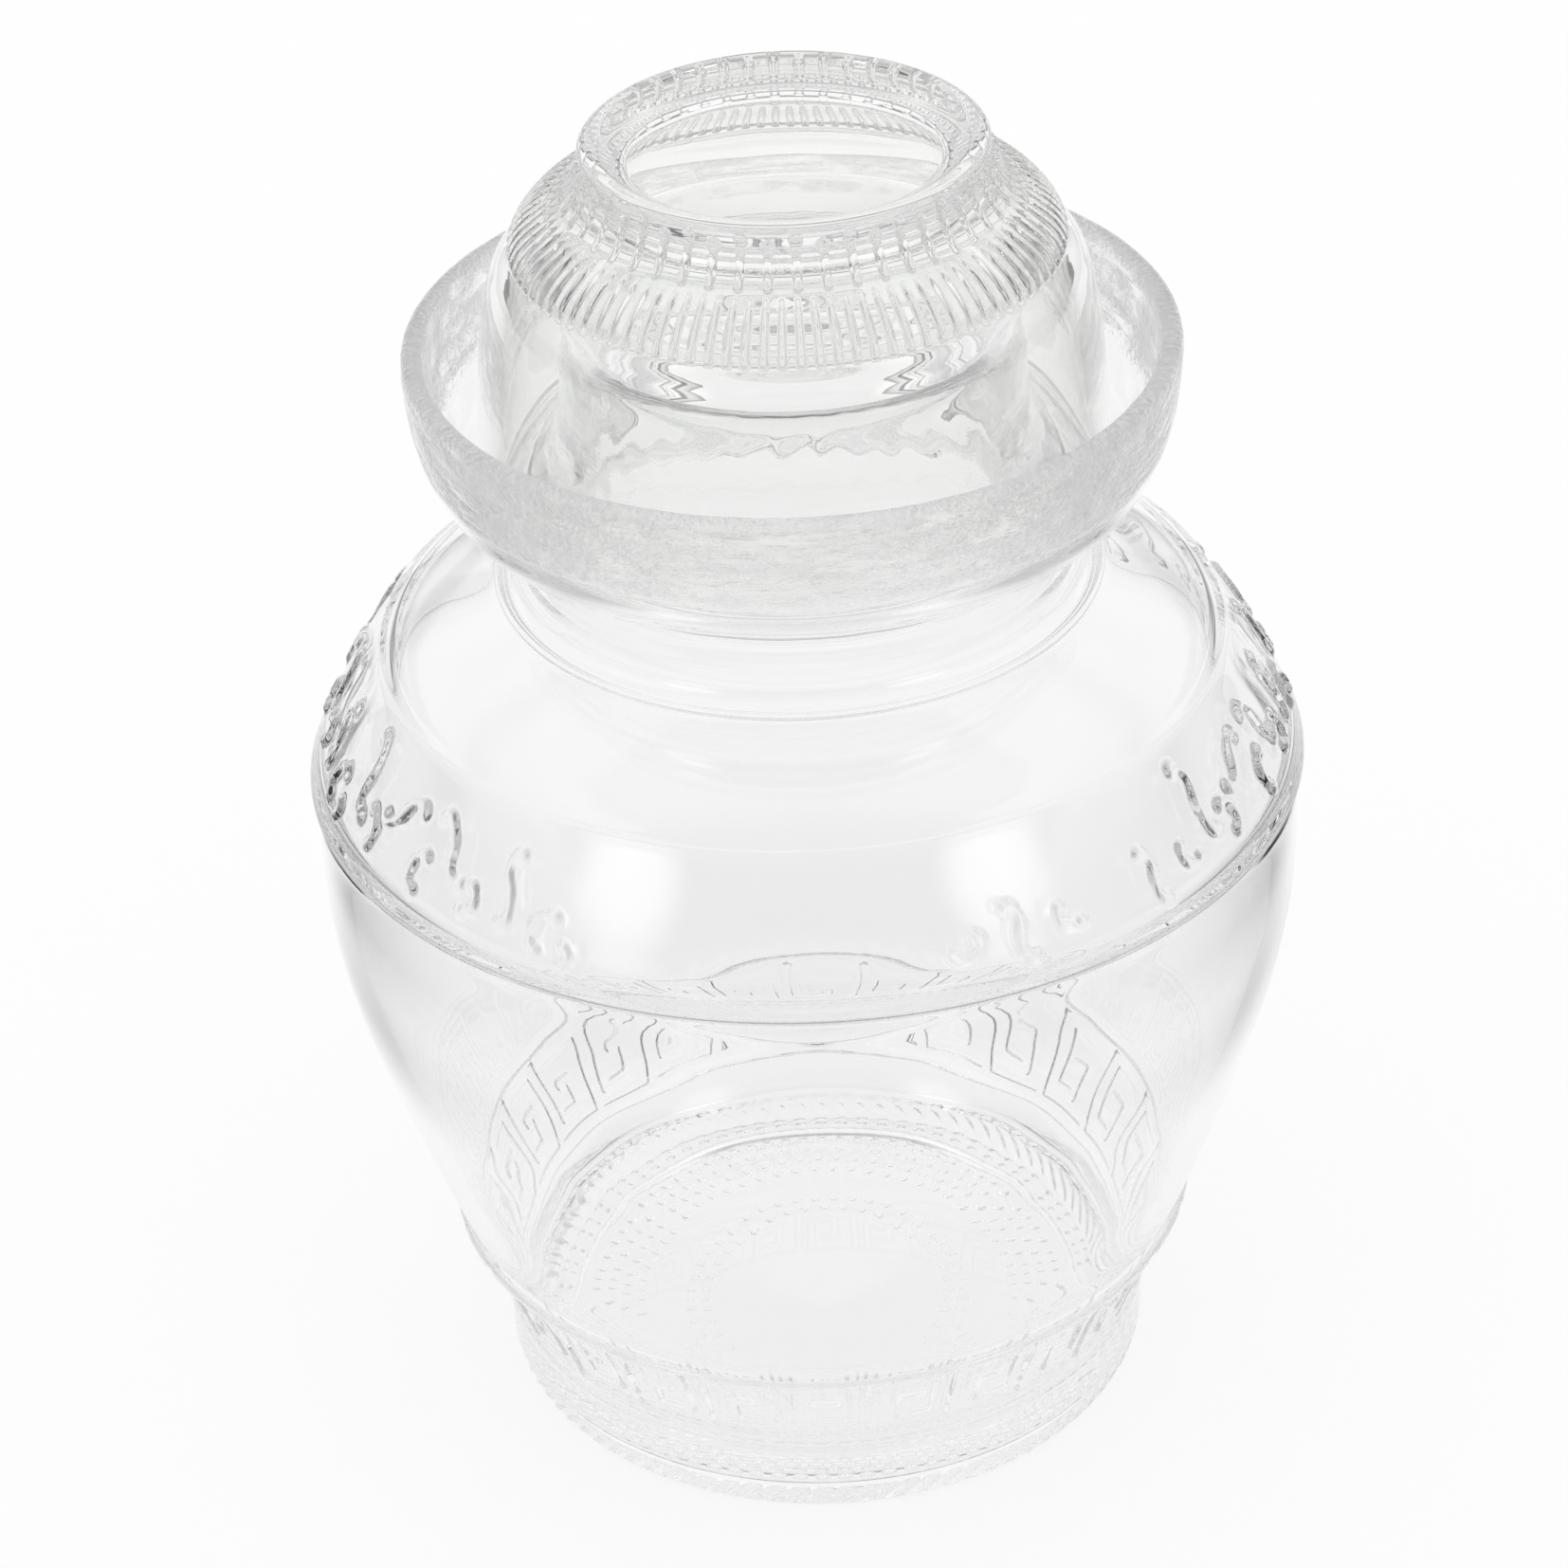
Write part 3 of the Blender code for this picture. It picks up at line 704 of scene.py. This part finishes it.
def jar_rise(rings):
    """The jar's relief, as a function of a ring and the angles of its points."""
    scrolls = scroll_lines()

    def rise(index, angle):
        r, z, s, nr, nz = rings.ring(index)
        level = np.zeros(len(angle))
        if z < BASE_TOP and nz < UPWARD:
            if nr > ROPE_OUTWARD:
                return rope_rise(angle, z, s)
            return dot_rise(angle, r) + dent_rise(angle, r)
        if nr > FOOT_OUTWARD and between(z, FOOT_TOP - FOOT_GROOVE_ZONE, KEY_END):
            return foot_rise(z) + meander_rise(angle, z, r) * window(z, FOOT_TOP, KEY_END, KEY_FADE)
        if nr > OUTWARD and between(z, LEDGE_UNDERCUT_END, LEDGE_TOP + LEDGE_REACH):
            return level + ledge_rise(z)
        if nr > OUTWARD and between(z, LEDGE_TOP + LEDGE_REACH, SHOULDER_RING):
            return scroll_rise(scrolls, angle, z) * window(z, BAND_BOTTOM, BAND_TOP, BAND_FADE)
        if r > MOAT_WALL_RADIUS and z > MOAT_FLOOR:
            return ease(z, *GRAIN_HEIGHTS) * MOAT_RIPPLE_RISE * ripple(angle, s, *MOAT_RIPPLE)
        if nr > 0 and abs(z - SEAT_TOP) < SEAT_REACH:
            return level + seat_rise(r)
        if r < NECK_RIPPLE_RADIUS and z > LOWER_NECK_TOP:
            share = window(z, LOWER_NECK_TOP, NECK_RIPPLE_TOP, NECK_RIPPLE_FADE)
            return RIPPLE_RISE * ripple(angle, s, *NECK_RIPPLE) * share
        if nr < 0 and between(z, BODY_RIPPLE_BOTTOM, SEAT_TOP):
            share = window(z, BODY_RIPPLE_BOTTOM, SEAT_TOP, BODY_RIPPLE_FADE)
            return RIPPLE_RISE * ripple(angle, s, *BODY_RIPPLE) * share
        return level

    return rise


def jar_fine(rings):
    """Which of the jar's rings have all the columns."""
    r, z = rings.r, rings.z
    outside = rings.nr > OUTWARD
    key = outside & between(z, FOOT_TOP - FINE_MARGIN, KEY_TOP)
    band = outside & between(z, LEDGE_TOP + FINE_MARGIN, SHOULDER_RING - FINE_MARGIN)
    moat = (r > MOAT_WALL_RADIUS) & (z > MOAT_FINE_BOTTOM) & ~(outside & (z < GRAIN_FINE_BOTTOM))
    base = (z < BASE_FINE_TOP) & (r > BASE_FINE_RADIUS) & (rings.nz < UPWARD)
    return key | band | moat | base


# Lid
def lid_side(rings):
    """Which rings are on the lid's outside, from its ring down."""
    return (rings.nr > LID_OUTWARD) & (rings.r > LID_SIDE_RADIUS)


def lid_spacing(r, z, nr, plain):
    """The distance from each ring to the next, which is short where there is relief."""
    step = plain.copy()
    step[(nr > LID_OUTWARD) & between(z, *LID_RELIEF) & (r > LID_RELIEF_RADIUS)] = LID_STEP
    return step


def lid_rise(rings):
    """The lid's relief, as a function of a ring and the angles of its points."""
    side = lid_side(rings)

    def along_at(height):
        """The length along the outline at which the lid's outside has the height."""
        return np.interp(-height, -rings.z[side], rings.s[side])

    bead_tops = (along_at(BEAD_TOP), along_at(BEAD_TOP - BEAD_STAGGER))
    bead_foot = along_at(BEAD_FOOT)
    flutes = (along_at(FLUTE_TOP), along_at(FLUTE_BOTTOM))
    ridge = along_at(RIDGE)

    def rise(index, angle):
        r, z, s, nr, nz = rings.ring(index)
        if side[index] and z > LID_RELIEF[0]:
            lift = np.maximum(bead_rise(angle, r, s, bead_tops, bead_foot), ridge_rise(s, ridge))
            return np.maximum(lift, rib_rise(angle, r, s, *flutes))
        if nr < 0 and z < LID_WALL_BAND[1]:
            share = window(z, *LID_WALL_BAND, LID_WALL_RIPPLE_FADE)
            return RIPPLE_RISE * ripple(angle, s, *LID_WALL_RIPPLE) * share
        if nz < DOWNWARD and z > LID_WALL_BAND[1]:
            return RIPPLE_RISE * ripple(angle, s, *CEILING_RIPPLE) * ease(r, 0, CEILING_RIPPLE_FADE)
        return np.zeros(len(angle))

    return rise


def lid_fine(rings):
    """Which of the lid's rings have all the columns."""
    return lid_side(rings) & between(rings.z, *LID_FINE)


# Nodes
def feed(tree, socket, value):
    """Links another node's output to the socket, or sets the socket to a plain value."""
    if isinstance(value, bpy.types.NodeSocket):
        tree.links.new(value, socket)
    else:
        socket.default_value = value


def maths(tree, operation, *values):
    node = tree.nodes.new("ShaderNodeMath")
    node.operation = operation
    for socket, value in zip(node.inputs, values):
        feed(tree, socket, value)
    return node.outputs[0]


def vectors(tree, operation, *values):
    node = tree.nodes.new("ShaderNodeVectorMath")
    node.operation = operation
    for socket, value in zip(node.inputs, values):
        feed(tree, socket, value)
    return node.outputs["Value" if operation in ("LENGTH", "DOT_PRODUCT") else "Vector"]


def split(tree, vector):
    """The vector's X, Y and Z."""
    node = tree.nodes.new("ShaderNodeSeparateXYZ")
    tree.links.new(vector, node.inputs[0])
    return tuple(node.outputs)


def eased(tree, value, low, high):
    """A smooth step of the value from 0 at low to 1 at high."""
    step = tree.nodes.new("ShaderNodeMapRange")
    step.interpolation_type = "SMOOTHSTEP"
    step.inputs["From Min"].default_value = low
    step.inputs["From Max"].default_value = high
    tree.links.new(value, step.inputs["Value"])
    return step.outputs["Result"]


def noise_at(tree, place, scale, detail, stretch):
    """Noise in the piece's own space, flattened by the stretch along Z."""
    mapping = tree.nodes.new("ShaderNodeMapping")
    noise = tree.nodes.new("ShaderNodeTexNoise")
    mapping.inputs["Scale"].default_value = (1, 1, stretch)
    noise.inputs["Scale"].default_value = scale
    noise.inputs["Detail"].default_value = detail
    tree.links.new(place, mapping.inputs["Vector"])
    tree.links.new(mapping.outputs[0], noise.inputs["Vector"])
    return noise.outputs["Fac"]


def grey_ramp(tree, value, low, high, stops):
    """The grey that the stops give for a value between low and high."""
    shift = tree.nodes.new("ShaderNodeMapRange")
    ramp = tree.nodes.new("ShaderNodeValToRGB")
    shift.inputs["From Min"].default_value = low
    shift.inputs["From Max"].default_value = high
    tree.links.new(value, shift.inputs["Value"])
    tree.links.new(shift.outputs[0], ramp.inputs["Fac"])
    elements = ramp.color_ramp.elements
    for share, _ in stops[1:-1]:
        elements.new(share)
    for element, (share, grey) in zip(elements, stops):
        element.position = share
        element.color = (grey, grey, grey, 1)
    return ramp.outputs["Color"]


def mixed(tree, blend, share, first, second):
    """Two colours as one."""
    mix = tree.nodes.new("ShaderNodeMix")
    mix.data_type = "RGBA"
    mix.blend_type = blend
    colours = [socket for socket in mix.inputs if socket.type == "RGBA"]
    feed(tree, mix.inputs["Factor"], share)
    feed(tree, colours[0], first)
    feed(tree, colours[1], second)
    return next(socket for socket in mix.outputs if socket.type == "RGBA")


def bent_ray(tree, path):
    """1 for a ray that a surface has reflected or glass has let through, and 0 for any other."""
    return maths(tree, "MAXIMUM", path.outputs["Is Glossy Ray"], path.outputs["Is Transmission Ray"])


def white_unless_bent(tree, path, grey):
    """White to the camera and as light, and the grey where a surface reflects it or glass shows it."""
    return mixed(tree, "MIX", bent_ray(tree, path), (1, 1, 1, 1), grey)


# Materials
def glass(name, colour):
    material = bpy.data.materials.new(name)
    material.use_nodes = True
    shader = material.node_tree.nodes["Principled BSDF"]
    shader.inputs["Base Color"].default_value = (*colour, 1)
    shader.inputs["Roughness"].default_value = 0.0
    shader.inputs["IOR"].default_value = GLASS_IOR
    shader.inputs["Transmission Weight"].default_value = 1.0
    return material


def add_grain(material):
    """Grain on the moat's wall, where hot glass met a cold mould, and a trace of it on the neck's sides."""
    tree = material.node_tree
    place = tree.nodes.new("ShaderNodeTexCoord").outputs["Object"]
    x, _, z = split(tree, place)
    radius = vectors(tree, "LENGTH", vectors(tree, "MULTIPLY", place, (1, 1, 0)))
    on_wall = maths(
        tree, "MULTIPLY", eased(tree, z, *GRAIN_HEIGHTS), eased(tree, radius, *GRAIN_WALL_RADII)
    )
    inside = maths(
        tree, "MULTIPLY", eased(tree, z, LOWER_NECK_TOP, MOAT_FLOOR), eased(tree, radius, *GRAIN_NECK_RADII)
    )
    on_neck = maths(tree, "MULTIPLY", inside, eased(tree, maths(tree, "ABSOLUTE", x), *GRAIN_NECK_SIDES))
    on_rim = maths(tree, "MULTIPLY", on_wall, eased(tree, z, *GRAIN_RIM_HEIGHTS))
    patches = eased(
        tree, noise_at(tree, place, PATCHES_PER_METRE, PATCH_DETAIL, PATCH_STRETCH), *PATCH_EDGES
    )
    where = maths(tree, "MULTIPLY_ADD", on_neck, NECK_GRAIN_SHARE, on_wall)
    amount = maths(tree, "MULTIPLY_ADD", on_rim, RIM_GRAIN_SHARE, maths(tree, "MULTIPLY", patches, where))
    grain = noise_at(tree, place, GRAIN_PER_METRE, GRAIN_DETAIL, GRAIN_STRETCH)
    bump = tree.nodes.new("ShaderNodeBump")
    bump.inputs["Strength"].default_value = 1.0
    bump.inputs["Distance"].default_value = GRAIN_DEPTH
    tree.links.new(maths(tree, "MULTIPLY", grain, amount), bump.inputs["Height"])
    tree.links.new(bump.outputs["Normal"], tree.nodes["Principled BSDF"].inputs["Normal"])


def floor_material():
    """A white floor. Glass sees a painted glow on it: dark, with a painted pool of light round the jar, and
    white far behind it.
    """
    material = bpy.data.materials.new("pale floor")
    material.use_nodes = True
    tree = material.node_tree
    shader = tree.nodes["Principled BSDF"]
    shader.inputs["Base Color"].default_value = (FLOOR_WHITE, FLOOR_WHITE, FLOOR_WHITE, 1)
    shader.inputs["Roughness"].default_value = 1.0
    shader.inputs["Specular IOR Level"].default_value = 0.0
    glow = tree.nodes.new("ShaderNodeEmission")
    mix = tree.nodes.new("ShaderNodeMixShader")
    path = tree.nodes.new("ShaderNodeLightPath")
    place = tree.nodes.new("ShaderNodeTexCoord").outputs["Object"]
    # Painted light that only glass sees: a painted pool of light round the jar, darker rings beyond it, and
    # painted white far behind it
    far = vectors(tree, "LENGTH", vectors(tree, "MULTIPLY", place, POOL_SQUEEZE))
    _, back, _ = split(tree, vectors(tree, "NORMALIZE", place))
    pool = grey_ramp(tree, far, 0, POOL_RADIUS, POOL_STOPS)
    behind = grey_ramp(tree, back, -1, 1, BEHIND_STOPS)
    grey = mixed(tree, "SCREEN", 1, pool, behind)
    seen = maths(tree, "MAXIMUM", path.outputs["Is Camera Ray"], bent_ray(tree, path))
    tree.links.new(white_unless_bent(tree, path, grey), glow.inputs["Color"])
    tree.links.new(maths(tree, "MULTIPLY", seen, FLOOR_GLOW_SHARE), mix.inputs["Fac"])
    tree.links.new(shader.outputs[0], mix.inputs[1])
    tree.links.new(glow.outputs[0], mix.inputs[2])
    tree.links.new(mix.outputs[0], tree.nodes["Material Output"].inputs["Surface"])
    return material


# Pieces
def add_piece(name, mesh, material, body, node):
    piece = bpy.data.objects.new(name, mesh)
    bpy.context.scene.collection.objects.link(piece)
    mesh.materials.append(material)
    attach(piece, body)
    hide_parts(node)
    return piece


def body_with(node):
    return frame["nodes"][node]["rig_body"]


def build_jar():
    rings = Outline("jar", jar_spacing, even_jar)
    mesh = ring_mesh("jar_clear", rings, jar_fine(rings), JAR_FINE_COLUMNS, jar_rise(rings))
    material = glass("clear jar glass", JAR_TINT)
    add_grain(material)
    return add_piece("jar_clear", mesh, material, body_with("jar"), "jar")


def build_lid():
    rings = Outline("lid", lid_spacing, even_lid)
    mesh = ring_mesh("lid_clear", rings, lid_fine(rings), LID_FINE_COLUMNS, lid_rise(rings))
    material = glass("clear lid glass", LID_TINT)
    return add_piece("lid_clear", mesh, material, body_with("lid"), "lid")


# Surroundings
def way_to(azimuth, elevation):
    """A direction from the jar: azimuth from the front round to the right and elevation, in degrees."""
    turn, lift = math.radians(azimuth), math.radians(elevation)
    return Vector((math.sin(turn) * math.cos(lift), -math.cos(turn) * math.cos(lift), math.sin(lift)))


def build_floor():
    angle = np.arange(FLOOR_CORNERS) * math.tau / FLOOR_CORNERS
    corners = np.stack([FLOOR_RADIUS * np.cos(angle), FLOOR_RADIUS * np.sin(angle), 0 * angle], axis=1)
    mesh = bpy.data.meshes.new("floor")
    mesh.from_pydata(corners.tolist(), [], [list(range(FLOOR_CORNERS))])
    mesh.materials.append(floor_material())
    floor = bpy.data.objects.new("floor", mesh)
    bpy.context.scene.collection.objects.link(floor)


def build_world():
    """White to the camera. Glass sees a room, dark low in front and along a band, and two lamps' glow."""
    world = bpy.data.worlds.new("studio")
    bpy.context.scene.world = world
    world.use_nodes = True
    tree = world.node_tree
    background = tree.nodes["Background"]
    way = tree.nodes.new("ShaderNodeTexCoord").outputs["Generated"]
    path = tree.nodes.new("ShaderNodeLightPath")

    def facing(azimuth, elevation):
        return vectors(tree, "DOT_PRODUCT", way, way_to(azimuth, elevation))

    room = grey_ramp(tree, facing(180, ROOM_LEAN), ROOM_LOW, 1, ROOM_STOPS)
    shade = eased(tree, facing(0, SHADE_LIFT), *SHADE_EDGES)
    room = maths(tree, "MULTIPLY", room, maths(tree, "MULTIPLY_ADD", shade, -SHADE_SHARE, 1))
    _, _, up = split(tree, way)
    room = maths(tree, "MULTIPLY", room, grey_ramp(tree, up, 0, 1, BAND_STOPS))
    for azimuth, elevation in LAMPS:
        glow = eased(tree, facing(azimuth, elevation), *GLOW_EDGES)
        room = maths(tree, "MULTIPLY_ADD", glow, GLOW_STRENGTH, room)
    tree.links.new(white_unless_bent(tree, path, room), background.inputs["Color"])
    background.inputs["Strength"].default_value = 1.0


def build_light(azimuth, elevation):
    """A soft lamp. The world's glow is its reflection, which has no hard edge."""
    light = bpy.data.lights.new("softbox", "AREA")
    light.shape = "DISK"
    light.size = LAMP_SIZE
    light.energy = LAMP_POWER
    lamp = bpy.data.objects.new("softbox", light)
    bpy.context.scene.collection.objects.link(lamp)
    back = way_to(azimuth, elevation)
    lamp.rotation_mode = "QUATERNION"
    lamp.rotation_quaternion = back.to_track_quat("Z", "Y")
    lamp.location = back * LAMP_DISTANCE
    lamp.visible_camera = False
    lamp.visible_glossy = False
    lamp.visible_transmission = False


def build_camera():
    yaw, pitch, roll = (math.radians(angle) for angle in (CAMERA_YAW, CAMERA_PITCH, CAMERA_ROLL))
    ahead = Vector((math.sin(yaw) * math.cos(pitch), math.cos(yaw) * math.cos(pitch), -math.sin(pitch)))
    side = Vector((math.cos(yaw), -math.sin(yaw), 0))
    upward = side.cross(ahead)
    x_axis = side * math.cos(roll) + upward * math.sin(roll)
    y_axis = upward * math.cos(roll) - side * math.sin(roll)
    data = bpy.data.cameras.new("camera")
    data.lens = CAMERA_LENS
    data.sensor_width = CAMERA_SENSOR
    data.clip_start = CAMERA_CLIP
    camera = bpy.data.objects.new("camera", data)
    bpy.context.scene.collection.objects.link(camera)
    turned = Matrix((x_axis, y_axis, -ahead)).transposed().to_4x4()
    camera.matrix_world = Matrix.Translation((0, -CAMERA_DISTANCE, CAMERA_HEIGHT)) @ turned
    bpy.context.scene.camera = camera


build_jar()
build_lid()
build_floor()
build_world()
for direction in LAMPS:
    build_light(*direction)
build_camera()
scene = bpy.context.scene
scene.view_settings.view_transform = "Standard"
scene.cycles.max_bounces = MOST_BOUNCES
scene.cycles.transmission_bounces = GLASS_BOUNCES
scene.cycles.glossy_bounces = GLASS_BOUNCES
